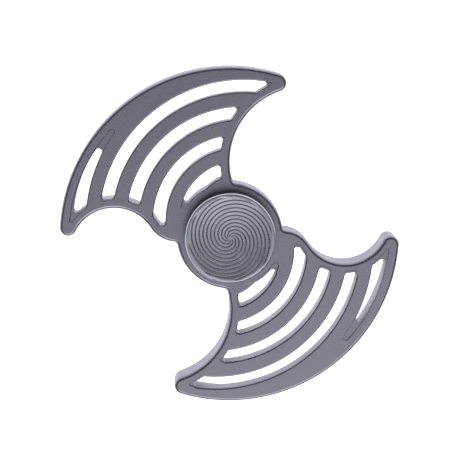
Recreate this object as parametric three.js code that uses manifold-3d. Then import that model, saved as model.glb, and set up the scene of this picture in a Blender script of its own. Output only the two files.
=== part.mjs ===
// Fidget spinner: two crescent blades on a round hub, turning on a 608 size ball bearing that is
// held between two finger caps. Millimetres, +Z up, resting on the lower cap at z = 0.
import * as THREE from 'three';
import { mergeVertices } from 'three/addons/utils/BufferGeometryUtils.js';
import Module from 'manifold-3d';

const wasm = await Module();
wasm.setup();

const DEG = Math.PI / 180;

// ---- heights, measured from the middle plane of the hub and bearing ----
const HUB_T = 7.9;
const FACE_Z = HUB_T / 2;
const BODY_T = 10.0;
const BODY_UNDER = FACE_Z - BODY_T;
const WEB_T = 5.6;
const WEB_UNDER = FACE_Z - WEB_T;
const CAP_RISE = 3.6;
const MID_Z = FACE_Z + CAP_RISE;

// ---- 608 bearing ----
const BRG_R = 11.0;
const BRG_BORE = 4.0;
const BRG_HALF = 3.5;
const PITCH_R = 7.5;
const BALL_R = 1.985;
const BALLS = 7;
const RACE_GAP = 0.03;
const RACE_R = 2.06;
const INNER_SHOULDER = 6.0;
const OUTER_SHOULDER = 9.1;
const SEAT_R = 9.6;
const SEAT_Z = 2.6;
const CLIP_GROOVE_R = 9.95;
const CLIP_Z0 = 2.95;
const CLIP_Z1 = 3.3;
const RING_STEPS = 44;

// ---- body outline of one blade; the other is the same turned half a turn ----
const HUB_R = 13.35;
const OUTER_ARC = { x: 0, y: -0.35, r: 42.6, turn: 1 };
const BITE_ARC = { x: -28.95, y: -3.8, r: 10.8, turn: -1 };
const BACK_ARC = { x: 18.4, y: 18.8, r: 18.45, turn: -1 };
const BULGE = { x: -13.3, y: 6.4 };
const BULGE_R = Math.hypot(BITE_ARC.x - BULGE.x, BITE_ARC.y - BULGE.y) - BITE_ARC.r;
const BULGE_ARC = { ...BULGE, r: BULGE_R, turn: 1 };
const HUB_ARC = { x: 0, y: 0, r: HUB_R, turn: 1 };
const BACK_TIP_R = 2.2;
const BITE_TIP_R = 2.1;
const BITE_ROOT_R = 1.0;
const BACK_ROOT_R = 1.2;
const EDGE_CHAMFER = 0.75;
const BORE_CHAMFER = 0.3;
const HUB_RELIEF = 0.5;
const PRESS_GAP = 0.02;

// ---- slots and the pocket behind them ----
const RIM = 2.4;
const POCKET_RIM = 2.2;
const POCKET_CORNER = 1.1;
const SLOT_CHAMFER = 0.35;
const SLOT_CORNER = 0.8;
const RECESS_DEPTH = 0.4;
const RECESS_BITE_RIM = 1.85;
const RECESS_BACK_RIM = 2.15;
const RECESS_STEP_IN = 0.1;
const RECESS_CORNER = 0.38;
const OVERRUN = 0.5;
const FLAT_R = 400;
const MERGE_TOL = 1e-5;

// ---- caps, washers and stud ----
const CAP_R = 11.3;
const CAP_GAP = 0.35;
const CAP_CHAMFER = 0.35;
const BOSS_R = 5.8;
const WASHER_T = 0.5;
const WASHER_R = 5.6;
const WASHER_BORE = 4.1;
const STUB_R = 3.95;
const STUB_END = 0.25;
const STUD_R = 2.44;
const STUD_HALF = 5.0;
const STUD_CHAMFER = 0.4;
const STUD_STEPS = 28;
const STUD_HOLE_R = 2.5;
const STUD_HOLE_END = 5.3;
const HEX_R = 1.45;
const HEX_DEPTH = 2.4;
const SPIRAL_ARMS = 8;
const SPIRAL_ADVANCE = 7.7;
const SPIRAL_R0 = 1.0;
const SPIRAL_R1 = 10.35;
const DISH_DEPTH = 0.5;
const GROOVE_SHARE = 0.42;
const GROOVE_DEPTH = 0.16;
const SPIRAL_STEP = 17 * DEG;
const CAP_STEPS = 52;

// ---- shields, clips, cage ----
const SHIELD_T = 0.3;
const SHIELD_BORE = 6.3;
const SHIELD_R = 9.5;
const CLIP_R0 = 9.15;
const CLIP_R1 = 9.85;
const CLIP_SPLIT = 26 * DEG;
const CLIP_CLEAR = 0.03;
const CAGE_R0 = 6.8;
const CAGE_R1 = 8.2;
const CAGE_TOP = 2.42;
const CAGE_GAP = 0.14;
const CAGE_STEPS = 28;

// ---------------------------------------------------------------------------------------------
// plane curves

function crossings(ax, ay, ar, bx, by, br) {
  const d = Math.hypot(bx - ax, by - ay);
  const along = (ar * ar - br * br + d * d) / (2 * d);
  const off = Math.sqrt(Math.max(0, ar * ar - along * along));
  const ux = (bx - ax) / d;
  const uy = (by - ay) / d;
  const mx = ax + ux * along;
  const my = ay + uy * along;
  return [[mx - uy * off, my + ux * off], [mx + uy * off, my - ux * off]];
}

// Joins side a to side b. corner > 0 rounds an outward corner, corner < 0 an inward one,
// and corner = 0 means that the two circles touch.
function joint(a, b, corner) {
  if (corner === 0) {
    const at = Math.atan2(b.y - a.y, b.x - a.x);
    return { aEnd: at, bStart: at + Math.PI, arc: null };
  }
  const s = Math.sign(corner);
  const rho = Math.abs(corner);
  const ends = crossings(a.x, a.y, a.r - a.turn * corner, b.x, b.y, b.r - b.turn * corner);
  const pick = ends.find(([x, y]) => {
    const ta = [-(y - a.y) * a.turn, (x - a.x) * a.turn];
    const tb = [-(y - b.y) * b.turn, (x - b.x) * b.turn];
    return (ta[0] * tb[1] - ta[1] * tb[0]) * s > 0;
  });
  const [x, y] = pick;
  const aEnd = Math.atan2(y - a.y, x - a.x);
  const bStart = Math.atan2(y - b.y, x - b.x);
  const from = s * a.turn > 0 ? aEnd : aEnd + Math.PI;
  const to = s * b.turn > 0 ? bStart : bStart + Math.PI;
  return { aEnd, bStart, arc: { x, y, r: rho, turn: s, from, to } };
}

function sweep(from, to, turn) {
  const full = 2 * Math.PI;
  const raw = ((to - from) * turn) % full;
  return raw < 0 ? raw + full : raw;
}

function emit(list, c, from, to, inset, stepLength) {
  const span = sweep(from, to, c.turn);
  const steps = Math.max(1, Math.round((span * Math.sqrt(c.r)) / stepLength));
  const r = c.r - c.turn * inset;
  for (let i = 0; i < steps; i += 1) {
    const t = from + (c.turn * span * i) / steps;
    list.push([c.x + r * Math.cos(t), c.y + r * Math.sin(t)]);
  }
}

// Counter-clockwise loop of arcs; inset moves the whole loop inwards and keeps the point count.
function trace(sides, inset, stepLength) {
  const joints = sides.map((side, i) => joint(side, sides[(i + 1) % sides.length], side.corner));
  const pts = [];
  sides.forEach((side, i) => {
    const before = joints[(i + sides.length - 1) % sides.length];
    emit(pts, side, before.bStart, joints[i].aEnd, inset, stepLength);
    if (joints[i].arc) {
      emit(pts, joints[i].arc, joints[i].arc.from, joints[i].arc.to, inset, stepLength);
    }
  });
  return pts;
}

function flat(px, py, nx, ny) {
  return { x: px + nx * FLAT_R, y: py + ny * FLAT_R, r: FLAT_R, turn: 1 };
}

// ---------------------------------------------------------------------------------------------
// solids

function geometryOf(positions, index) {
  const g = new THREE.BufferGeometry();
  g.setAttribute('position', new THREE.Float32BufferAttribute(positions, 3));
  g.setIndex(index);
  return g;
}

function toSolid(geometry) {
  geometry.deleteAttribute('normal');
  geometry.deleteAttribute('uv');
  const g = mergeVertices(geometry, MERGE_TOL);
  const p = g.attributes.position;
  const tri = [];
  for (let i = 0; i < g.index.count; i += 3) {
    const [a, b, c] = [g.index.getX(i), g.index.getX(i + 1), g.index.getX(i + 2)];
    if (a !== b && b !== c && c !== a) {
      tri.push(a, b, c);
    }
  }
  let volume = 0;
  const v = [0, 1, 2].map(() => new THREE.Vector3());
  for (let i = 0; i < tri.length; i += 3) {
    v.forEach((w, k) => w.fromBufferAttribute(p, tri[i + k]));
    volume += v[0].dot(v[1].cross(v[2]));
  }
  if (volume < 0) {
    for (let i = 0; i < tri.length; i += 3) {
      [tri[i + 1], tri[i + 2]] = [tri[i + 2], tri[i + 1]];
    }
  }
  const mesh = new wasm.Mesh({
    numProp: 3,
    vertProperties: new Float32Array(p.array),
    triVerts: new Uint32Array(tri),
  });
  return new wasm.Manifold(mesh);
}

function fromSolid(solid) {
  const m = solid.getMesh();
  const g = geometryOf(Array.from(m.vertProperties), Array.from(m.triVerts));
  g.computeVertexNormals();
  return g;
}

// Stack of loops with equal point counts, closed by flat ends.
function loft(levels) {
  const n = levels[0].pts.length;
  const positions = [];
  const index = [];
  levels.forEach((level) => level.pts.forEach(([x, y]) => positions.push(x, y, level.z)));
  for (let k = 0; k + 1 < levels.length; k += 1) {
    for (let i = 0; i < n; i += 1) {
      const j = (i + 1) % n;
      const [a, b, c, d] = [k * n + i, k * n + j, (k + 1) * n + j, (k + 1) * n + i];
      index.push(a, b, c, a, c, d);
    }
  }
  const ends = [[levels[0], 0, true], [levels[levels.length - 1], (levels.length - 1) * n, false]];
  ends.forEach(([level, base, down]) => {
    const loop = level.pts.map(([x, y]) => new THREE.Vector2(x, y));
    THREE.ShapeUtils.triangulateShape(loop, []).forEach(([a, b, c]) => {
      index.push(base + a, base + (down ? c : b), base + (down ? b : c));
    });
  });
  return toSolid(geometryOf(positions, index));
}

// Profile of [radius, height] points turned about Z. It starts and ends on the axis, or closes
// on itself.
function revolve(profile, steps) {
  const g = new THREE.LatheGeometry(profile.map(([r, z]) => new THREE.Vector2(r, z)), steps);
  g.rotateX(Math.PI / 2);
  return toSolid(g);
}

function closed(profile) {
  return [...profile, profile[0]];
}

function halfTurn(solid) {
  return solid.rotate([0, 0, 180]);
}

// ---------------------------------------------------------------------------------------------
// spinner body

function turned(side) {
  return { ...side, x: -side.x, y: -side.y };
}

const bladeSides = [
  { ...BACK_ARC, corner: BACK_TIP_R },
  { ...OUTER_ARC, corner: BITE_TIP_R },
  { ...BITE_ARC, corner: 0 },
  { ...BULGE_ARC, corner: -BITE_ROOT_R },
  { ...HUB_ARC, corner: -BACK_ROOT_R },
];
const outlineSides = [...bladeSides, ...bladeSides.map(turned)];
const OUTLINE_STEP = 0.55;
const SLOT_STEP = 0.62;

function bodyBlank() {
  const ring = (z, inset) => ({ z, pts: trace(outlineSides, inset, OUTLINE_STEP) });
  return loft([
    ring(BODY_UNDER, EDGE_CHAMFER),
    ring(BODY_UNDER + EDGE_CHAMFER, 0),
    ring(FACE_Z - EDGE_CHAMFER, 0),
    ring(FACE_Z, EDGE_CHAMFER),
  ]);
}

function boreCutter() {
  const r = BRG_R + PRESS_GAP;
  const top = FACE_Z + OVERRUN;
  const wide = r + BORE_CHAMFER + OVERRUN;
  const edge = FACE_Z - BORE_CHAMFER;
  return revolve([[0, -top], [wide, -top], [r, -edge], [r, edge], [wide, top], [0, top]], RING_STEPS);
}

// The hub is thinner than the blades: its under side is turned back around the lower cap.
function hubRelief() {
  const r = HUB_R + HUB_RELIEF;
  return revolve([[0, BODY_UNDER - OVERRUN], [r, BODY_UNDER - OVERRUN], [r, -FACE_Z], [0, -FACE_Z]],
    RING_STEPS);
}

function grown(side, by) {
  return { ...side, r: side.r - side.turn * by };
}

// Each slot is a band between two arcs about nearly the same point, cut off by the rim.
const SLOTS = [
  { x: 3.45, y: 2.87, inner: 33.17, outer: 36.15 },
  { x: 3.2, y: 3.15, inner: 26.15, outer: 29.18 },
  { x: 2.45, y: 3.75, inner: 18.6, outer: 21.67, floor: 2.6 },
];
const HUB_SLOT = { x: 2.5, y: 3.7, inner: 11.95, outer: 15.2, hub: 13.4, tip: SLOT_CORNER };
const HUB_RECESS = { x: 2.5, y: 3.7, inner: 12.05, outer: 15.24, hub: 12.95, tip: 0.75 };
const EDGE_SLOT = {
  inner: { x: 4.5, y: 2.95, r: 40.6, turn: -1 },
  outer: { x: -5.1, y: 2.3, r: 34.25, turn: 1 },
  tip: 0.82,
};
const EDGE_RECESS = {
  inner: { x: 3.45, y: 2.87, r: 39.47, turn: -1 },
  outer: { x: 0, y: -0.35, r: 40.22, turn: 1 },
  tip: 0.72,
};
const FLOOR_CORNER = 0.6;

function slotLoops(corner, biteRim, backRim, stepIn, edge, hub) {
  const bite = grown(BITE_ARC, biteRim);
  const back = grown(BACK_ARC, backRim);
  const loops = SLOTS.map((slot) => {
    const sides = [
      { x: slot.x, y: slot.y, r: slot.outer - stepIn, turn: 1, corner },
      { ...bite, corner },
      { x: slot.x, y: slot.y, r: slot.inner + stepIn, turn: -1, corner },
      { ...back, corner },
    ];
    if (slot.floor) {
      const drop = RIM - biteRim;
      const small = Math.min(corner, FLOOR_CORNER);
      sides[1].corner = small;
      sides.splice(2, 0, { ...flat(bite.x, slot.floor - drop, 0, 1), corner: small });
    }
    return sides;
  });
  loops.push([
    { x: hub.x, y: hub.y, r: hub.outer, turn: 1, corner: hub.tip },
    { x: 0, y: 0, r: hub.hub, turn: -1, corner },
    { x: hub.x, y: hub.y, r: hub.inner, turn: -1, corner },
    { ...back, corner },
  ]);
  loops.push([
    { ...edge.outer, corner },
    { ...bite, corner },
    { ...edge.inner, corner: edge.tip },
  ]);
  return loops;
}

function slotCutter(sides) {
  const ring = (z, inset) => ({ z, pts: trace(sides, inset, SLOT_STEP) });
  return loft([
    ring(WEB_UNDER - OVERRUN, 0),
    ring(FACE_Z - SLOT_CHAMFER, 0),
    ring(FACE_Z + OVERRUN, -SLOT_CHAMFER - OVERRUN),
  ]);
}

function recessCutter(sides) {
  const pts = trace(sides, 0, SLOT_STEP);
  return loft([{ z: FACE_Z - RECESS_DEPTH, pts }, { z: FACE_Z + OVERRUN, pts }]);
}

function pocketCutter() {
  const sides = [
    { ...grown(BACK_ARC, POCKET_RIM), corner: POCKET_CORNER },
    { ...grown(OUTER_ARC, POCKET_RIM), corner: POCKET_CORNER },
    { ...grown(BITE_ARC, POCKET_RIM), corner: 0 },
    { ...grown(BULGE_ARC, POCKET_RIM), corner: POCKET_CORNER },
    { x: 0, y: 0, r: HUB_R, turn: -1, corner: POCKET_CORNER },
  ];
  const pts = trace(sides, 0, OUTLINE_STEP);
  return loft([{ z: BODY_UNDER - OVERRUN, pts }, { z: WEB_UNDER, pts }]);
}

function spinnerBody() {
  const cutters = [pocketCutter()];
  slotLoops(SLOT_CORNER, RIM, RIM, 0, EDGE_SLOT, HUB_SLOT)
    .forEach((sides) => cutters.push(slotCutter(sides)));
  slotLoops(RECESS_CORNER, RECESS_BITE_RIM, RECESS_BACK_RIM, RECESS_STEP_IN, EDGE_RECESS, HUB_RECESS)
    .forEach((sides) => cutters.push(recessCutter(sides)));
  let body = bodyBlank().subtract(hubRelief()).subtract(boreCutter());
  cutters.forEach((cutter) => {
    body = body.subtract(cutter).subtract(halfTurn(cutter));
  });
  return body;
}

// ---------------------------------------------------------------------------------------------
// bearing

function raceArc(centre, shoulder, side) {
  const half = Math.sqrt(RACE_R ** 2 - (shoulder - centre) ** 2);
  const open = Math.asin(half / RACE_R);
  const pts = [];
  const STEPS = 4;
  for (let i = 0; i <= STEPS; i += 1) {
    const t = -open + (2 * open * i) / STEPS;
    pts.push([centre + side * RACE_R * Math.cos(t), RACE_R * Math.sin(t)]);
  }
  return pts;
}

function outerRing() {
  const centre = PITCH_R + BALL_R + RACE_GAP - RACE_R;
  const groove = raceArc(centre, OUTER_SHOULDER, 1);
  const half = [
    [OUTER_SHOULDER, SEAT_Z],
    [SEAT_R, SEAT_Z],
    [SEAT_R, CLIP_Z0],
    [CLIP_GROOVE_R, CLIP_Z0],
    [CLIP_GROOVE_R, CLIP_Z1],
    [SEAT_R, CLIP_Z1],
    [SEAT_R, BRG_HALF],
    [BRG_R, BRG_HALF],
  ];
  const lower = half.map(([r, z]) => [r, -z]).reverse();
  return revolve(closed([...lower, ...groove, ...half]), RING_STEPS);
}

function innerRing() {
  const centre = PITCH_R - BALL_R - RACE_GAP + RACE_R;
  const groove = raceArc(centre, INNER_SHOULDER, -1);
  const profile = [
    [BRG_BORE, -BRG_HALF],
    [INNER_SHOULDER, -BRG_HALF],
    ...groove,
    [INNER_SHOULDER, BRG_HALF],
    [BRG_BORE, BRG_HALF],
  ];
  return revolve(closed(profile), RING_STEPS);
}

function ringPlate(r0, r1, z0, z1, steps) {
  return revolve(closed([[r0, z0], [r1, z0], [r1, z1], [r0, z1]]), steps);
}

function clip() {
  const STEPS = 26;
  const from = CLIP_SPLIT / 2;
  const span = 2 * Math.PI - CLIP_SPLIT;
  const pts = [];
  for (let i = 0; i <= STEPS; i += 1) {
    const t = from + (span * i) / STEPS;
    pts.push([CLIP_R1 * Math.cos(t), CLIP_R1 * Math.sin(t)]);
  }
  for (let i = STEPS; i >= 0; i -= 1) {
    const t = from + (span * i) / STEPS;
    pts.push([CLIP_R0 * Math.cos(t), CLIP_R0 * Math.sin(t)]);
  }
  return loft([{ z: CLIP_Z0 + CLIP_CLEAR, pts }, { z: CLIP_Z1 - CLIP_CLEAR, pts }]);
}

function ballAt(i, radius, detail) {
  const t = (2 * Math.PI * i) / BALLS;
  const g = new THREE.IcosahedronGeometry(radius, detail);
  g.translate(PITCH_R * Math.cos(t), PITCH_R * Math.sin(t), 0);
  return toSolid(g);
}

function cageHalf() {
  let cage = ringPlate(CAGE_R0, CAGE_R1, 0, CAGE_TOP, CAGE_STEPS);
  for (let i = 0; i < BALLS; i += 1) {
    cage = cage.subtract(ballAt(i, BALL_R + CAGE_GAP, 2));
  }
  return cage;
}

// ---------------------------------------------------------------------------------------------
// caps and what joins them

function capSolid() {
  const top = MID_Z;
  const under = FACE_Z + CAP_GAP;
  const shoulder = BRG_HALF + WASHER_T;
  const land = CAP_R - CAP_CHAMFER;
  const profile = [
    [land, top],
    [CAP_R, top - CAP_CHAMFER],
    [CAP_R, under],
    [BOSS_R, under],
    [BOSS_R, shoulder],
    [STUB_R, shoulder],
    [STUB_R, STUB_END],
    [STUD_HOLE_R, STUB_END],
    [STUD_HOLE_R, STUD_HOLE_END],
    [0, STUD_HOLE_END],
  ];
  const positions = [];
  const index = [];
  const rows = profile.length - 1;
  for (let j = 0; j < rows; j += 1) {
    for (let i = 0; i < CAP_STEPS; i += 1) {
      const t = (2 * Math.PI * i) / CAP_STEPS;
      const [r, z] = profile[j];
      positions.push(r * Math.cos(t), r * Math.sin(t), z);
    }
  }
  const ringQuads = (a0, b0, n) => {
    for (let i = 0; i < n; i += 1) {
      const j = (i + 1) % n;
      index.push(a0 + i, b0 + j, a0 + j, a0 + i, b0 + i, b0 + j);
    }
  };
  for (let j = 0; j + 1 < rows; j += 1) {
    ringQuads(j * CAP_STEPS, (j + 1) * CAP_STEPS, CAP_STEPS);
  }
  const holeEnd = positions.length / 3;
  positions.push(0, 0, STUD_HOLE_END);
  for (let i = 0; i < CAP_STEPS; i += 1) {
    index.push((rows - 1) * CAP_STEPS + i, holeEnd, (rows - 1) * CAP_STEPS + ((i + 1) % CAP_STEPS));
  }
  // The dished spiral field: for each arm, two groove edges and the groove bottom between them.
  const perRadian = SPIRAL_ADVANCE / (2 * Math.PI);
  const levels = Math.ceil((SPIRAL_R1 - SPIRAL_R0) / perRadian / SPIRAL_STEP);
  const lines = 3 * SPIRAL_ARMS;
  const sector = (2 * Math.PI) / SPIRAL_ARMS;
  const field = positions.length / 3;
  for (let j = 0; j <= levels; j += 1) {
    const r = SPIRAL_R1 + ((SPIRAL_R0 - SPIRAL_R1) * j) / levels;
    const wind = (SPIRAL_R1 - r) / perRadian;
    const deep = j === 0 || j === levels ? 0 : GROOVE_DEPTH;
    const face = top - DISH_DEPTH * (1 - (r / SPIRAL_R1) ** 2);
    for (let k = 0; k < lines; k += 1) {
      const part = (k % 3) * (GROOVE_SHARE / 2);
      const t = wind + sector * (Math.floor(k / 3) + part);
      positions.push(r * Math.cos(t), r * Math.sin(t), k % 3 === 1 ? face - deep : face);
    }
  }
  for (let j = 0; j < levels; j += 1) {
    ringQuads(field + (j + 1) * lines, field + j * lines, lines);
  }
  const middle = positions.length / 3;
  positions.push(0, 0, top - DISH_DEPTH);
  for (let k = 0; k < lines; k += 1) {
    const base = field + levels * lines;
    index.push(base + k, base + ((k + 1) % lines), middle);
  }
  // Flat land between the outermost field loop and the edge chamfer.
  const fieldAt = (k) => sector * (Math.floor(k / 3) + (k % 3) * (GROOVE_SHARE / 2));
  const edgeAt = (i) => (2 * Math.PI * i) / CAP_STEPS;
  let a = 0;
  let b = 0;
  while (a < lines || b < CAP_STEPS) {
    if (b >= CAP_STEPS || (a < lines && fieldAt(a + 1) <= edgeAt(b + 1))) {
      index.push(field + a, b % CAP_STEPS, field + ((a + 1) % lines));
      a += 1;
    } else {
      index.push(field + (a % lines), b, (b + 1) % CAP_STEPS);
      b += 1;
    }
  }
  return toSolid(geometryOf(positions, index));
}

function stud() {
  const blank = revolve([
    [0, -STUD_HALF],
    [STUD_R - STUD_CHAMFER, -STUD_HALF],
    [STUD_R, -STUD_HALF + STUD_CHAMFER],
    [STUD_R, STUD_HALF - STUD_CHAMFER],
    [STUD_R - STUD_CHAMFER, STUD_HALF],
    [0, STUD_HALF],
  ], STUD_STEPS);
  const hex = new THREE.CylinderGeometry(HEX_R, HEX_R, HEX_DEPTH * 2, 6);
  hex.rotateX(Math.PI / 2);
  hex.translate(0, 0, STUD_HALF);
  return blank.subtract(toSolid(hex));
}

// ---------------------------------------------------------------------------------------------
// assembly

const group = new THREE.Group();
group.name = 'fidget_spinner';

function place(name, solid, finish) {
  const material = new THREE.MeshStandardMaterial({ flatShading: true, ...finish });
  const mesh = new THREE.Mesh(fromSolid(solid.translate([0, 0, MID_Z])), material);
  mesh.name = name;
  group.add(mesh);
}

function under(solid) {
  return solid.rotate([180, 0, 0]);
}

const ANODISED = { color: 0x6e6c77, roughness: 0.48, metalness: 0.85 };
const CAP_METAL = { color: 0x8d8f9a, roughness: 0.32, metalness: 0.95 };
const STEEL = { color: 0xb9bcc0, roughness: 0.25, metalness: 1.0 };
const BALL_STEEL = { color: 0xd4d6d8, roughness: 0.08, metalness: 1.0 };
const CAGE_STEEL = { color: 0xa8a59c, roughness: 0.4, metalness: 0.9 };
const SHIELD_STEEL = { color: 0xa2a6ab, roughness: 0.35, metalness: 0.95 };
const CLIP_STEEL = { color: 0x7c7f84, roughness: 0.4, metalness: 0.9 };
const STUD_STEEL = { color: 0x2e2f33, roughness: 0.5, metalness: 0.7 };

const PLATE_STEPS = 36;
const shield = ringPlate(SHIELD_BORE, SHIELD_R, SEAT_Z, SEAT_Z + SHIELD_T, PLATE_STEPS);
const washer = ringPlate(WASHER_BORE, WASHER_R, BRG_HALF, BRG_HALF + WASHER_T, PLATE_STEPS);
const cap = capSolid();
const cage = cageHalf();
const splitRing = clip();

place('spinner_body', spinnerBody(), ANODISED);
place('bearing_outer_ring', outerRing(), STEEL);
place('bearing_inner_ring', innerRing(), STEEL);
for (let i = 0; i < BALLS; i += 1) {
  place(`bearing_ball_${i + 1}`, ballAt(i, BALL_R, 2), BALL_STEEL);
}
place('bearing_cage_upper', cage, CAGE_STEEL);
place('bearing_cage_lower', under(cage), CAGE_STEEL);
place('bearing_shield_upper', shield, SHIELD_STEEL);
place('bearing_shield_lower', under(shield), SHIELD_STEEL);
place('bearing_clip_upper', splitRing, CLIP_STEEL);
place('bearing_clip_lower', under(splitRing), CLIP_STEEL);
place('upper_washer', washer, STEEL);
place('lower_washer', under(washer), STEEL);
place('upper_cap', cap, CAP_METAL);
place('lower_cap', under(cap), CAP_METAL);
place('cap_stud', stud(), STUD_STEEL);

export default group;
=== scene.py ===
"""Fidget spinner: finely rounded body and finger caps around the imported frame, in metres."""
import math

import bpy
import numpy as np
from mathutils import Matrix, Vector


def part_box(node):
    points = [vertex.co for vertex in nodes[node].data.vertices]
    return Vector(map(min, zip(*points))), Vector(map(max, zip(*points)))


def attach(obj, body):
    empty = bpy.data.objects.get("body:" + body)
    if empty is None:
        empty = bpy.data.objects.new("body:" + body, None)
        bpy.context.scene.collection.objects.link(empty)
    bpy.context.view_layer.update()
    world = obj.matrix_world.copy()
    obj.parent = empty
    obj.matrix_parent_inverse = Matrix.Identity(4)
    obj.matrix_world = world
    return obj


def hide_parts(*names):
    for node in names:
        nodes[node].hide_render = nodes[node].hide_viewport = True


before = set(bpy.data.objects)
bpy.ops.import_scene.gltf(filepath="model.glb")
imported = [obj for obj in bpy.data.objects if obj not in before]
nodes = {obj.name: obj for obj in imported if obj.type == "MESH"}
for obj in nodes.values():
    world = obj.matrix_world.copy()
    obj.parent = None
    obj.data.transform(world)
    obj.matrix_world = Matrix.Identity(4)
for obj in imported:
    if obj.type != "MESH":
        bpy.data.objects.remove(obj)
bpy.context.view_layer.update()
MM = 0.001

# ---------------------------------------------------------------- sizes, in millimetres
body_low, body_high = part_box("spinner_body")
cap_low, cap_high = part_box("upper_cap")
ring_low, ring_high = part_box("bearing_outer_ring")

FACE = body_high.z / MM                      # front face of hub and blades
UNDER = body_low.z / MM                      # back edge of the blades
MID = (ring_low.z + ring_high.z) / 2 / MM    # middle plane of the bearing
HUB_UNDER = 2 * MID - FACE
WEB_THICKNESS = 5.6
WEB_UNDER = FACE - WEB_THICKNESS
CAP_TOP = cap_high.z / MM
CAP_R = (cap_high.x - cap_low.x) / 2 / MM
PRESS_GAP = 0.02
BORE_R = (ring_high.x - ring_low.x) / 2 / MM + PRESS_GAP

HUB_R = 13.35
OUTER_ARC = dict(x=0.0, y=-0.35, r=42.6, turn=1)
BITE_ARC = dict(x=-28.95, y=-3.8, r=10.8, turn=-1)
BACK_ARC = dict(x=18.4, y=18.8, r=18.45, turn=-1)
BULGE_X, BULGE_Y = -13.3, 6.4
# the bulge touches the bite's circle from outside
BULGE_R = math.hypot(BITE_ARC["x"] - BULGE_X, BITE_ARC["y"] - BULGE_Y) - BITE_ARC["r"]
BULGE_ARC = dict(x=BULGE_X, y=BULGE_Y, r=BULGE_R, turn=1)
HUB_ARC = dict(x=0.0, y=0.0, r=HUB_R, turn=1)
EDGE_R = 0.85
SLOT_EDGE_R = 0.36
RIM = 2.4
POCKET_RIM = 2.2
RECESS_DEPTH = 0.4
BACK_TIP_R, BITE_TIP_R = 2.2, 2.1
BULGE_FILLET, HUB_FILLET = 1.0, 1.2
SLOT_CORNER, SMALL_CORNER, RECESS_CORNER = 0.8, 0.6, 0.38
RECESS_BITE_RIM, RECESS_BACK_RIM, RECESS_STEP = RIM - 0.55, RIM - 0.25, 0.1
POCKET_CORNER, POCKET_FILLET = 1.1, 0.5
PAST = 0.5                                   # how far a cutter reaches beyond the face it opens


# ---------------------------------------------------------------- arcs and loops
def crossings(a, ra, b, rb):
    dx, dy = b["x"] - a["x"], b["y"] - a["y"]
    d = math.hypot(dx, dy)
    along = (ra * ra - rb * rb + d * d) / (2 * d)
    off = math.sqrt(max(0.0, ra * ra - along * along))
    mx, my = a["x"] + dx / d * along, a["y"] + dy / d * along
    return [(mx - dy / d * off, my + dx / d * off), (mx + dy / d * off, my - dx / d * off)]


def joint(a, b, corner):
    """How side a runs into side b: a rounded corner, or two circles that touch (corner 0)."""
    if corner == 0:
        at = math.atan2(b["y"] - a["y"], b["x"] - a["x"])
        return at, at + math.pi, None
    s = 1 if corner > 0 else -1
    for x, y in crossings(a, a["r"] - a["turn"] * corner, b, b["r"] - b["turn"] * corner):
        ta = (-(y - a["y"]) * a["turn"], (x - a["x"]) * a["turn"])
        tb = (-(y - b["y"]) * b["turn"], (x - b["x"]) * b["turn"])
        if (ta[0] * tb[1] - ta[1] * tb[0]) * s > 0:
            break
    a_end = math.atan2(y - a["y"], x - a["x"])
    b_start = math.atan2(y - b["y"], x - b["x"])
    first = a_end if s * a["turn"] > 0 else a_end + math.pi
    last = b_start if s * b["turn"] > 0 else b_start + math.pi
    return a_end, b_start, (dict(x=x, y=y, r=abs(corner), turn=s), first, last)


def emit(out, c, first, last, inset, step):
    span = ((last - first) * c["turn"]) % (2 * math.pi)
    count = max(2, round(span * c["r"] / step), round(span / math.radians(6)))
    t = first + c["turn"] * span * np.arange(count) / count
    r = c["r"] - c["turn"] * inset
    out.append(np.column_stack([c["x"] + r * np.cos(t), c["y"] + r * np.sin(t)]))


def trace(sides, inset=0.0, step=0.35):
    """Counter-clockwise loop; inset moves it inwards and keeps the number of points."""
    joints = [joint(s, sides[(i + 1) % len(sides)], s["corner"]) for i, s in enumerate(sides)]
    out = []
    for i, side in enumerate(sides):
        emit(out, side, joints[i - 1][1], joints[i][0], inset, step)
        if joints[i][2]:
            arc, first, last = joints[i][2]
            emit(out, arc, first, last, inset, step)
    return np.vstack(out)


def grown(side, by):
    return dict(side, r=side["r"] - side["turn"] * by)


def turned(loop):
    return -loop


# ---------------------------------------------------------------- meshes
def new_object(name, verts, faces):
    mesh = bpy.data.meshes.new(name)
    mesh.from_pydata((np.asarray(verts) * MM).tolist(), [], faces)
    mesh.validate()
    mesh.update()
    obj = bpy.data.objects.new(name, mesh)
    bpy.context.scene.collection.objects.link(obj)
    return obj


def loft_data(levels):
    """levels: list of (z, loop) from low to high; returns vertices and faces with flat ends."""
    n = len(levels[0][1])
    verts = np.vstack([np.column_stack([loop, np.full(n, z)]) for z, loop in levels])
    faces = []
    for k in range(len(levels) - 1):
        a, b = k * n, (k + 1) * n
        faces += [(a + i, a + (i + 1) % n, b + (i + 1) % n, b + i) for i in range(n)]
    faces.append(tuple(range(n - 1, -1, -1)))
    top = (len(levels) - 1) * n
    faces.append(tuple(range(top, top + n)))
    return verts, faces


def lathe_data(profile, steps=192):
    """profile: (radius, z) points from the axis back to the axis, lowest first."""
    verts = [(0.0, 0.0, profile[0][1])]
    faces = []
    rows = [p for p in profile if p[0] > 1e-9]
    angle = 2 * math.pi * np.arange(steps) / steps
    for r, z in rows:
        verts += list(zip(r * np.cos(angle), r * np.sin(angle), np.full(steps, z)))
    verts.append((0.0, 0.0, profile[-1][1]))
    last = len(verts) - 1
    for i in range(steps):
        j = (i + 1) % steps
        faces.append((0, 1 + j, 1 + i))
        for k in range(len(rows) - 1):
            a, b = 1 + k * steps, 1 + (k + 1) * steps
            faces.append((a + i, a + j, b + j, b + i))
        a = 1 + (len(rows) - 1) * steps
        faces.append((a + i, a + j, last))
    return np.array(verts), faces


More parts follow.
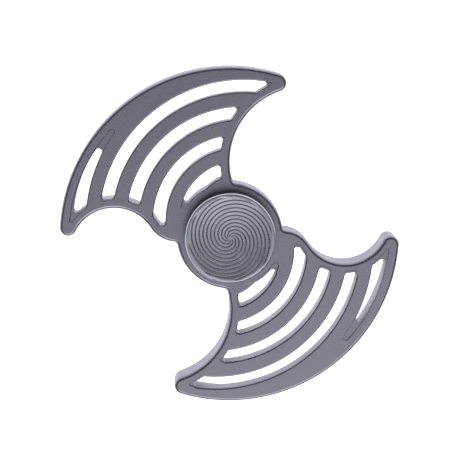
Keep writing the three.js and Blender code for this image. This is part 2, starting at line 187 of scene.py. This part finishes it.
def joined(name, parts):
    verts, faces, base = [], [], 0
    for v, f in parts:
        verts.append(v)
        faces += [tuple(i + base for i in face) for face in f]
        base += len(v)
    return new_object(name, np.vstack(verts), faces)


def baked(obj):
    """Applies the object's modifiers."""
    graph = bpy.context.evaluated_depsgraph_get()
    mesh = bpy.data.meshes.new_from_object(obj.evaluated_get(graph))
    obj.modifiers.clear()
    obj.data = mesh
    return obj


def cut(obj, cutter):
    mod = obj.modifiers.new("cut", "BOOLEAN")
    mod.operation = "DIFFERENCE"
    mod.solver = "MANIFOLD"
    mod.object = cutter
    baked(obj)
    bpy.data.objects.remove(cutter)


def soft_normals(obj, degrees=28):
    obj.data.shade_smooth()
    obj.data.set_sharp_from_angle(angle=math.radians(degrees))
    mod = obj.modifiers.new("normals", "WEIGHTED_NORMAL")
    mod.mode = "FACE_AREA"
    mod.weight = 100
    mod.keep_sharp = True
    return obj


def eased(p0, p1, p2, count=4):
    """Points that round the corner p1, from p0 to p2."""
    t = np.linspace(0, 1, count)[:, None]
    p0, p1, p2 = (np.array(p, float) for p in (p0, p1, p2))
    return ((1 - t) ** 2 * p0 + 2 * t * (1 - t) * p1 + t ** 2 * p2).tolist()


def edge_profile(radius, count=9):
    """(inset, depth below the face) of a rounded edge, from the wall up to the face."""
    t = np.linspace(0, math.pi / 2, count)
    return list(zip(radius * (1 - np.cos(t)), radius * (1 - np.sin(t))))


# ---------------------------------------------------------------- spinner body
def outline_sides():
    blade = [dict(BACK_ARC, corner=BACK_TIP_R), dict(OUTER_ARC, corner=BITE_TIP_R),
             dict(BITE_ARC, corner=0), dict(BULGE_ARC, corner=-BULGE_FILLET),
             dict(HUB_ARC, corner=-HUB_FILLET)]
    return blade + [dict(s, x=-s["x"], y=-s["y"]) for s in blade]


# the three long slots: centre x and y, inner and outer radii
LONG_SLOTS = ((3.45, 2.87, 33.17, 36.15), (3.2, 3.15, 26.15, 29.18), (2.45, 3.75, 18.6, 21.67))
# the shortest long slot has one straight side, drawn as an arc too wide to look curved
STRAIGHT_Y, STRAIGHT_R = 2.6, 400.0
# the outermost slot and the shallow recess round it: outer arc, inner arc and tip radius
EDGE_SLOT = (dict(x=-5.1, y=2.3, r=34.25, turn=1), dict(x=4.5, y=2.95, r=40.6, turn=-1), 0.82)
EDGE_RECESS = (dict(x=0.0, y=-0.35, r=40.22, turn=1), dict(x=3.45, y=2.87, r=39.47, turn=-1), 0.72)
# the slot beside the hub and its recess: outer and inner radii, hub-side radius and tip radius
HUB_SLOT = (15.2, 11.95, 13.4, 0.8)
HUB_RECESS = (15.24, 12.05, 12.95, 0.75)


def slot_sides(corner, bite_rim, back_rim, step_in, edge, hub):
    bite, back = grown(BITE_ARC, bite_rim), grown(BACK_ARC, back_rim)
    loops = []
    for x, y, inner, outer in LONG_SLOTS:
        loops.append([dict(x=x, y=y, r=outer - step_in, turn=1, corner=corner),
                      dict(bite, corner=corner),
                      dict(x=x, y=y, r=inner + step_in, turn=-1, corner=corner),
                      dict(back, corner=corner)])
    small = min(corner, SMALL_CORNER)
    straight_y = STRAIGHT_Y - (RIM - bite_rim)
    loops[2][1]["corner"] = small
    loops[2].insert(2, dict(x=bite["x"], y=straight_y + STRAIGHT_R, r=STRAIGHT_R, turn=1,
                             corner=small))
    wide, narrow, hub_side, hub_tip = hub
    loops.append([dict(x=2.5, y=3.7, r=wide, turn=1, corner=hub_tip),
                  dict(x=0.0, y=0.0, r=hub_side, turn=-1, corner=corner),
                  dict(x=2.5, y=3.7, r=narrow, turn=-1, corner=corner),
                  dict(back, corner=corner)])
    outer, inner, tip = edge
    loops.append([dict(outer, corner=corner), dict(bite, corner=corner), dict(inner, corner=tip)])
    return loops


def both_blades(levels):
    return [loft_data(levels), loft_data([(z, turned(loop)) for z, loop in levels])]


def make_body():
    sides = outline_sides()
    levels = [(UNDER + d, trace(sides, i)) for i, d in reversed(edge_profile(EDGE_R))]
    levels += [(FACE - d, trace(sides, i)) for i, d in edge_profile(EDGE_R)]
    body = joined("body_shell", [loft_data(levels)])

    parts = []
    for s in slot_sides(SLOT_CORNER, RIM, RIM, 0.0, EDGE_SLOT, HUB_SLOT):
        stack = [(WEB_UNDER - PAST, trace(s, -0.2)), (WEB_UNDER, trace(s, -0.2)),
                 (WEB_UNDER + 0.2, trace(s, 0))]
        stack += [(FACE - d, trace(s, -i)) for i, d in edge_profile(SLOT_EDGE_R, 7)]
        stack.append((FACE + PAST, trace(s, -SLOT_EDGE_R)))
        parts += both_blades(stack)
    slots = joined("slots", parts)

    parts = []
    for s in slot_sides(RECESS_CORNER, RECESS_BITE_RIM, RECESS_BACK_RIM, RECESS_STEP, EDGE_RECESS,
                        HUB_RECESS):
        stack = [(FACE - RECESS_DEPTH, trace(s, 0.06)), (FACE - RECESS_DEPTH + 0.06, trace(s, 0)),
                 (FACE - 0.08, trace(s, 0)), (FACE, trace(s, -0.08)), (FACE + PAST, trace(s, -0.08))]
        parts += both_blades(stack)
    recesses = joined("recesses", parts)

    pocket = [dict(grown(BACK_ARC, POCKET_RIM), corner=POCKET_CORNER),
              dict(grown(OUTER_ARC, POCKET_RIM), corner=POCKET_CORNER),
              dict(grown(BITE_ARC, POCKET_RIM), corner=0),
              dict(grown(BULGE_ARC, POCKET_RIM), corner=POCKET_CORNER),
              dict(x=0.0, y=0.0, r=HUB_R, turn=-1, corner=POCKET_CORNER)]
    stack = [(UNDER - PAST, trace(pocket, -0.25)), (UNDER, trace(pocket, -0.25)),
             (UNDER + 0.25, trace(pocket, 0))]
    for k in range(7):
        a = k / 6 * math.pi / 2
        inset = POCKET_FILLET * (1 - math.cos(a))
        stack.append((WEB_UNDER - POCKET_FILLET * (1 - math.sin(a)), trace(pocket, inset)))
    pockets = joined("pockets", both_blades(stack))

    relief = joined("relief", [lathe_data([
        (0, UNDER - PAST), (HUB_R + 0.5, UNDER - PAST), (HUB_R + 0.5, HUB_UNDER - 0.15),
        (HUB_R + 0.35, HUB_UNDER), (0, HUB_UNDER)])])
    bore = joined("bore", [lathe_data([
        (0, HUB_UNDER - PAST), (BORE_R + 0.8, HUB_UNDER - PAST), (BORE_R, HUB_UNDER + 0.3),
        (BORE_R, FACE - 0.3), (BORE_R + 0.8, FACE + PAST), (0, FACE + PAST)])])
    for cutter in (relief, bore, pockets, slots, recesses):
        cut(body, cutter)
    return baked(soft_normals(body))


# ---------------------------------------------------------------- finger caps
SPIRAL_ARMS = 8
PER_RADIAN = 7.7 / (2 * math.pi)
SPIRAL_R0, SPIRAL_R1 = 0.35, 10.35
GROOVE_DEPTH = 0.17
GROOVE_SHARE = 0.38
DISH_DEPTH = 0.5
RIM_EDGE = 0.35                              # height and width of the bevel round the cap
RIM_R = CAP_R - RIM_EDGE
CAP_GAP = 0.35                               # from the hub's face to the underside of the cap
BOSS_R, BOSS_Z = 5.8, 4.0
STUB_R, STUB_Z = 3.95, 0.25
STUD_R, STUD_TOP = 2.5, 5.3


def smooth(t):
    t = np.clip(t, 0, 1)
    return t * t * (3 - 2 * t)


def groove(r, t):
    """Depth of the spiral grooves at radius r and angle t."""
    phase = (t - (SPIRAL_R1 - r) / PER_RADIAN) * SPIRAL_ARMS / (2 * math.pi)
    u = phase % 1.0 / GROOVE_SHARE
    shape = np.where(u < 1, 1 - np.abs(2 * u - 1), 0.0)
    fade = smooth((r - SPIRAL_R0) / 0.4) * smooth((SPIRAL_R1 - r) / 0.2)
    return GROOVE_DEPTH * smooth(shape * 1.1) * fade


def is_cap_rim(at, normal):
    return math.hypot(at.x, at.y) > RIM_R - 0.12 and 0.12 < normal.z < 0.99


def make_cap(name):
    """Dished, spirally grooved face over a plain underside with a boss and a stub."""
    steps = 480
    angle = 2 * math.pi * np.arange(steps) / steps
    top = CAP_TOP - MID
    under = FACE - MID + CAP_GAP
    verts = [np.array([[0.0, 0.0, top - DISH_DEPTH]])]
    rows = np.linspace(0.12, SPIRAL_R1, 220)
    for r in rows:
        z = top - DISH_DEPTH * (1 - (r / SPIRAL_R1) ** 2) - groove(np.full(steps, r), angle)
        verts.append(np.column_stack([r * np.cos(angle), r * np.sin(angle), z]))
    q = 0.1
    side = eased((RIM_R - q, top), (RIM_R, top), (RIM_R + q * 0.7, top - q * 0.7))
    side += eased((CAP_R - q * 0.7, top - RIM_EDGE + q * 0.7), (CAP_R, top - RIM_EDGE),
                  (CAP_R, top - RIM_EDGE - q))
    side += eased((CAP_R, under + 0.2), (CAP_R, under), (CAP_R - 0.2, under))
    side += [(BOSS_R, under), (BOSS_R, BOSS_Z), (STUB_R, BOSS_Z), (STUB_R, STUB_Z),
             (STUD_R, STUB_Z), (STUD_R, STUD_TOP)]
    for r, z in side:
        verts.append(np.column_stack([r * np.cos(angle), r * np.sin(angle), np.full(steps, z)]))
    verts.append(np.array([[0.0, 0.0, STUD_TOP]]))
    count = len(rows) + len(side)
    faces = []
    for i in range(steps):
        j = (i + 1) % steps
        faces.append((0, 1 + i, 1 + j))
        for k in range(count - 1):
            a, b = 1 + k * steps, 1 + (k + 1) * steps
            faces.append((a + i, b + i, b + j, a + j))
        a = 1 + (count - 1) * steps
        faces.append((a + i, 1 + count * steps, a + j))
    cap = new_object(name, np.vstack(verts), faces)
    cap.data.shade_smooth()
    cap.data.set_sharp_from_angle(angle=math.radians(42))
    return cap


# ---------------------------------------------------------------- materials
class Nodes:
    """Small helper that adds nodes to one node tree."""

    def __init__(self, tree):
        self.tree = tree
        coords = tree.nodes.new("ShaderNodeTexCoord")
        self.object = coords.outputs["Object"]
        self.direction = coords.outputs["Generated"]

    def link(self, a, b):
        self.tree.links.new(a, b)

    def noise(self, scale, detail=2.0, rough=0.5):
        n = self.tree.nodes.new("ShaderNodeTexNoise")
        n.inputs["Scale"].default_value = scale
        n.inputs["Detail"].default_value = detail
        n.inputs["Roughness"].default_value = rough
        self.link(self.object, n.inputs["Vector"])
        return n.outputs["Fac"]

    def spread(self, value, low, high, a=0.3, b=0.7, how="LINEAR"):
        n = self.tree.nodes.new("ShaderNodeMapRange")
        n.interpolation_type = how
        n.inputs["From Min"].default_value = a
        n.inputs["From Max"].default_value = b
        n.inputs["To Min"].default_value = low
        n.inputs["To Max"].default_value = high
        self.link(value, n.inputs["Value"])
        return n.outputs["Result"]

    def math(self, how, a, b):
        n = self.tree.nodes.new("ShaderNodeMath")
        n.operation = how
        for k, v in enumerate((a, b)):
            if isinstance(v, (int, float)):
                n.inputs[k].default_value = v
            else:
                self.link(v, n.inputs[k])
        return n.outputs[0]

    def tint(self, color, factor):
        n = self.tree.nodes.new("ShaderNodeVectorMath")
        n.operation = "SCALE"
        n.inputs[0].default_value = color
        self.link(factor, n.inputs["Scale"])
        return n.outputs["Vector"]

    def along(self, direction):
        """Cosine of the angle between the looked-up direction and a fixed one."""
        n = self.tree.nodes.new("ShaderNodeVectorMath")
        n.operation = "DOT_PRODUCT"
        self.link(self.direction, n.inputs[0])
        n.inputs[1].default_value = direction
        return n.outputs["Value"]

    def bump(self, height, distance, strength=1.0):
        n = self.tree.nodes.new("ShaderNodeBump")
        n.inputs["Distance"].default_value = distance
        n.inputs["Strength"].default_value = strength
        self.link(height, n.inputs["Height"])
        return n.outputs["Normal"]


class Surface(Nodes):
    """A material and the helper for its tree."""

    def __init__(self, name):
        self.material = bpy.data.materials.new(name)
        self.material.use_nodes = True
        super().__init__(self.material.node_tree)
        self.shader = self.tree.nodes["Principled BSDF"]


def metal(name, color, rough, grain=2600.0, grain_depth=0.00001, mottle=0.06, rough_mix=0.06):
    """Blasted or ground metal: grain in the normals, mottled tone and uneven roughness."""
    m = Surface(name)
    fine = m.noise(grain, 3.0, 0.6)
    broad = m.noise(140.0, 2.0, 0.5)
    tone = m.math("ADD", m.spread(fine, 1 - mottle, 1 + mottle), m.spread(broad, -0.03, 0.03))
    m.link(m.tint(color, tone), m.shader.inputs["Base Color"])
    m.link(m.math("ADD", m.spread(fine, rough - rough_mix, rough + rough_mix),
                  m.spread(broad, -0.03, 0.03)), m.shader.inputs["Roughness"])
    m.shader.inputs["Metallic"].default_value = 1.0
    m.link(m.bump(fine, grain_depth), m.shader.inputs["Normal"])
    return m.material


def turned_metal(name, color, rough, rings=5200.0, depth=0.000004):
    """Lathe-turned metal: fine rings around the spin axis."""
    m = Surface(name)
    wave = m.tree.nodes.new("ShaderNodeTexWave")
    wave.wave_type = "RINGS"
    wave.rings_direction = "Z"
    wave.inputs["Scale"].default_value = rings / 20.0
    wave.inputs["Distortion"].default_value = 0.6
    wave.inputs["Detail"].default_value = 2.0
    wave.inputs["Detail Scale"].default_value = 1.5
    m.link(m.object, wave.inputs["Vector"])
    fine = m.noise(3200.0, 2.0, 0.6)
    broad = m.noise(160.0, 2.0, 0.5)
    tone = m.math("ADD", m.spread(fine, 0.95, 1.05), m.spread(broad, -0.04, 0.04))
    m.link(m.tint(color, tone), m.shader.inputs["Base Color"])
    m.link(m.math("ADD", m.spread(wave.outputs["Fac"], rough - 0.04, rough + 0.04, 0.0, 1.0),
                  m.spread(fine, -0.04, 0.04)), m.shader.inputs["Roughness"])
    m.shader.inputs["Metallic"].default_value = 1.0
    height = m.math("ADD", wave.outputs["Fac"], m.spread(fine, -0.3, 0.3))
    m.link(m.bump(height, depth), m.shader.inputs["Normal"])
    return m.material


BODY_METAL = metal("gunmetal_blasted", (0.158, 0.153, 0.185), 0.42, 2600.0, 0.00002, 0.13, 0.08)
CAP_METAL = turned_metal("gunmetal_turned", (0.200, 0.200, 0.235), 0.30)
EDGE_METAL = metal("gunmetal_cut_edge", (0.160, 0.156, 0.188), 0.20, 3200.0, 0.000003, 0.06, 0.05)
CAP_EDGE_METAL = metal("cap_cut_edge", (0.30, 0.30, 0.34), 0.16, 3200.0, 0.000002, 0.05, 0.04)
RING_METAL = metal("bearing_steel", (0.56, 0.57, 0.58), 0.22, 5200.0, 0.000002, 0.04, 0.05)
BALL_METAL = metal("ball_steel", (0.66, 0.67, 0.68), 0.07, 4000.0, 0.0000005, 0.02, 0.02)
CAGE_METAL = metal("cage_steel", (0.42, 0.41, 0.37), 0.38, 3600.0, 0.000004, 0.05, 0.06)
SHIELD_METAL = metal("shield_steel", (0.38, 0.39, 0.41), 0.34, 3000.0, 0.000004, 0.05, 0.06)
CLIP_METAL = metal("clip_steel", (0.22, 0.22, 0.23), 0.40, 3000.0, 0.000003, 0.05, 0.06)
WASHER_METAL = metal("washer_steel", (0.52, 0.53, 0.54), 0.28, 4200.0, 0.000003, 0.05, 0.05)
STUD_METAL = metal("stud_black", (0.035, 0.035, 0.040), 0.45, 2600.0, 0.000006, 0.10, 0.08)


def polish_edges(obj, material, is_edge):
    """Gives the faces picked by is_edge(centre in mm, normal) a second material."""
    obj.data.materials.append(material)
    for face in obj.data.polygons:
        if is_edge(face.center / MM, face.normal):
            face.material_index = 1


def dress(obj, material):
    obj.data.materials.clear()
    obj.data.materials.append(material)
    return obj


body = dress(make_body(), BODY_METAL)
polish_edges(body, EDGE_METAL, lambda at, n: 0.12 < n.z < 0.985 and at.z > FACE - EDGE_R
             or -0.985 < n.z < -0.12 and at.z < UNDER + EDGE_R)
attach(body, "spinner")
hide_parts("spinner_body")

upper = dress(make_cap("upper_finger_cap"), CAP_METAL)
polish_edges(upper, CAP_EDGE_METAL, is_cap_rim)
upper.data.transform(Matrix.Translation((0, 0, MID * MM)))
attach(upper, "caps")
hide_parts("upper_cap")

lower = dress(make_cap("lower_finger_cap"), CAP_METAL)
polish_edges(lower, CAP_EDGE_METAL, is_cap_rim)
lower.data.transform(Matrix.Translation((0, 0, MID * MM)) @ Matrix.Rotation(math.pi, 4, "X"))
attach(lower, "caps")
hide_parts("lower_cap")

CARRIED = {
    "bearing_outer_ring": (RING_METAL, "ring", 0.12),
    "bearing_inner_ring": (RING_METAL, "ring", 0.12),
    "bearing_cage_upper": (CAGE_METAL, "cage", 0.03),
    "bearing_cage_lower": (CAGE_METAL, "cage", 0.03),
    "bearing_shield_upper": (SHIELD_METAL, "shield", 0.05),
    "bearing_shield_lower": (SHIELD_METAL, "shield", 0.05),
    "bearing_clip_upper": (CLIP_METAL, "clip", 0.04),
    "bearing_clip_lower": (CLIP_METAL, "clip", 0.04),
    "upper_washer": (WASHER_METAL, "washer", 0.06),
    "lower_washer": (WASHER_METAL, "washer", 0.06),
    "cap_stud": (STUD_METAL, "stud", 0.05),
}
for name, (material, slot, bevel) in CARRIED.items():
    piece = nodes[name]
    dress(piece, material)
    mod = piece.modifiers.new("edges", "BEVEL")
    mod.width = bevel * MM
    mod.segments = 2
    mod.limit_method = "ANGLE"
    mod.angle_limit = math.radians(40)
for name, piece in nodes.items():
    if "ball" in name:
        dress(piece, BALL_METAL)
        mod = piece.modifiers.new("round", "SUBSURF")
        mod.levels = 2
        mod.render_levels = 2


# ---------------------------------------------------------------- floor, light and camera
KEY_AZIMUTH, KEY_POLAR, KEY_EDGE, KEY_CORE = -80.0, 40.0, 40.0, 12.0
KEY_LEVEL, TOP_LEVEL, SWEEP_LEVEL, ROOM_LEVEL = 3.0, 0.30, 2.2, 0.10
SWEEP_AZIMUTH = 115.0
FLOOR_LEVEL = 1.7


def make_floor():
    size = 3000.0
    floor = new_object("floor", [(-size, -size, 0), (size, -size, 0), (size, size, 0),
                                 (-size, size, 0)], [(0, 1, 2, 3)])
    m = Surface("floor_white")
    tone = m.spread(m.noise(3.0), 0.99, 1.01)
    m.link(m.tint((0.10, 0.10, 0.10), tone), m.shader.inputs["Base Color"])
    m.shader.inputs["Roughness"].default_value = 0.9
    m.shader.inputs["Specular IOR Level"].default_value = 0.0
    m.shader.inputs["Emission Color"].default_value = (0.97, 0.97, 1.08, 1)
    m.shader.inputs["Emission Strength"].default_value = FLOOR_LEVEL
    dress(floor, m.material)


def towards(azimuth, polar):
    a, p = math.radians(azimuth), math.radians(polar)
    return (math.cos(a) * math.sin(p), math.sin(a) * math.sin(p), math.cos(p))


def make_world():
    """Soft key light in front and overhead, a bright sweep behind, a dark room in front."""
    world = bpy.data.worlds.new("studio")
    bpy.context.scene.world = world
    world.use_nodes = True
    n = Nodes(world.node_tree)
    soft = "SMOOTHSTEP"
    key = n.spread(n.along(towards(KEY_AZIMUTH, KEY_POLAR)), 0.0, KEY_LEVEL,
                   math.cos(math.radians(KEY_EDGE)), math.cos(math.radians(KEY_CORE)), soft)
    low = n.spread(n.along((0, 0, 1)), 1.0, 0.0, 0.10, 0.42, soft)
    sweep = n.spread(n.along(towards(SWEEP_AZIMUTH, 90)), ROOM_LEVEL, SWEEP_LEVEL,
                     -0.70, 0.20, soft)
    high = n.math("SUBTRACT", 1.0, low)
    level = n.math("ADD", key, n.math("ADD", n.math("MULTIPLY", low, sweep),
                                      n.math("MULTIPLY", high, TOP_LEVEL)))
    background = world.node_tree.nodes["Background"]
    n.link(level, background.inputs["Strength"])
    background.inputs["Color"].default_value = (0.985, 0.99, 1.0, 1)


TILT = math.radians(8.5)
LEAN = -0.189
DISTANCE = 437.8
LENS = 137.0
AIM_RISE = 1.6075                            # the camera looks this far above the hub's centre, mm


def make_camera():
    camera = bpy.data.objects.new("camera", bpy.data.cameras.new("camera"))
    bpy.context.scene.collection.objects.link(camera)
    camera.data.sensor_width = 36.0
    camera.data.lens = LENS
    camera.data.clip_start = 0.01
    camera.data.clip_end = 20.0
    back = Vector((LEAN * math.sin(TILT), math.sqrt(1 - LEAN ** 2) * math.sin(TILT),
                   math.cos(TILT)))
    right = Vector((1, 0, 0)) - back * back.x
    right.normalize()
    up = back.cross(right)
    aim = Vector((0, 0, FACE * MM)) + up * (AIM_RISE * MM)
    place = aim + back * (DISTANCE * MM)
    turn = Matrix((right, up, back)).transposed().to_4x4()
    camera.matrix_world = Matrix.Translation(place) @ turn
    bpy.context.scene.camera = camera


make_floor()
make_world()
make_camera()
bpy.context.scene.view_settings.view_transform = "Standard"
bpy.context.scene.view_settings.look = "None"
